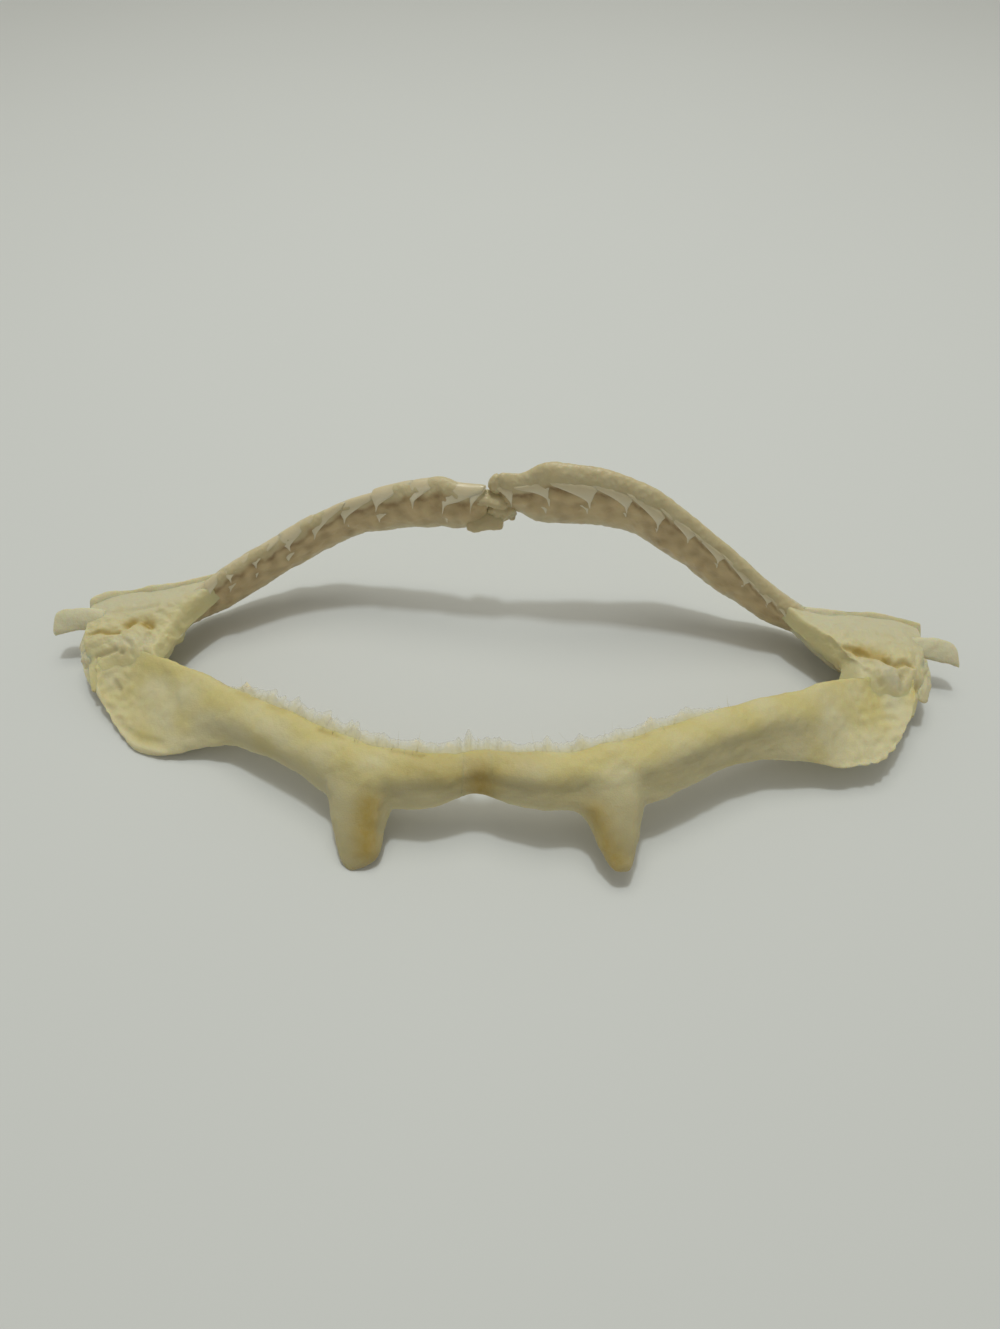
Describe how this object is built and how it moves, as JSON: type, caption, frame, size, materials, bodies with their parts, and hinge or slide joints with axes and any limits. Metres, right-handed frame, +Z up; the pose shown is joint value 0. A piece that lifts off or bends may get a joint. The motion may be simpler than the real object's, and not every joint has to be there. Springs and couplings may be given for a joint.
{
  "type": "silky shark jaw",
  "caption": "Dried shark jaw lying open: two toothed cartilage arcs joined at dished corner lobes, for display or study.",
  "frame": {"origin": "on the table under the middle of the specimen's bounding box", "axes": "+X along the gape towards the corner on the animal's right, +Y from the upper jaw to the lower jaw, +Z up from the table"},
  "size_m": [0.273, 0.1111, 0.0545],
  "materials": {
    "cartilage": "dry, matt to slightly waxy cartilage, cream to ochre",
    "gum_and_teeth": "dried brown gum under semi-gloss off-white teeth",
    "ligament": "rough dried ligament, cream with brown creases"
  },
  "bodies": {
    "root": {"upper_jaw_left": "cartilage", "upper_jaw_right": "cartilage", "lower_jaw_left": "cartilage", "lower_jaw_right": "cartilage", "upper_teeth_left": "gum_and_teeth", "upper_teeth_right": "gum_and_teeth", "lower_teeth_left": "gum_and_teeth", "lower_teeth_right": "gum_and_teeth", "hyoid_stub_left": "ligament", "hyoid_stub_right": "ligament", "upper_symphysis": "ligament", "lower_symphysis": "ligament", "jaw_joint_left": "ligament", "jaw_joint_right": "ligament"}
  },
  "joints": []
}
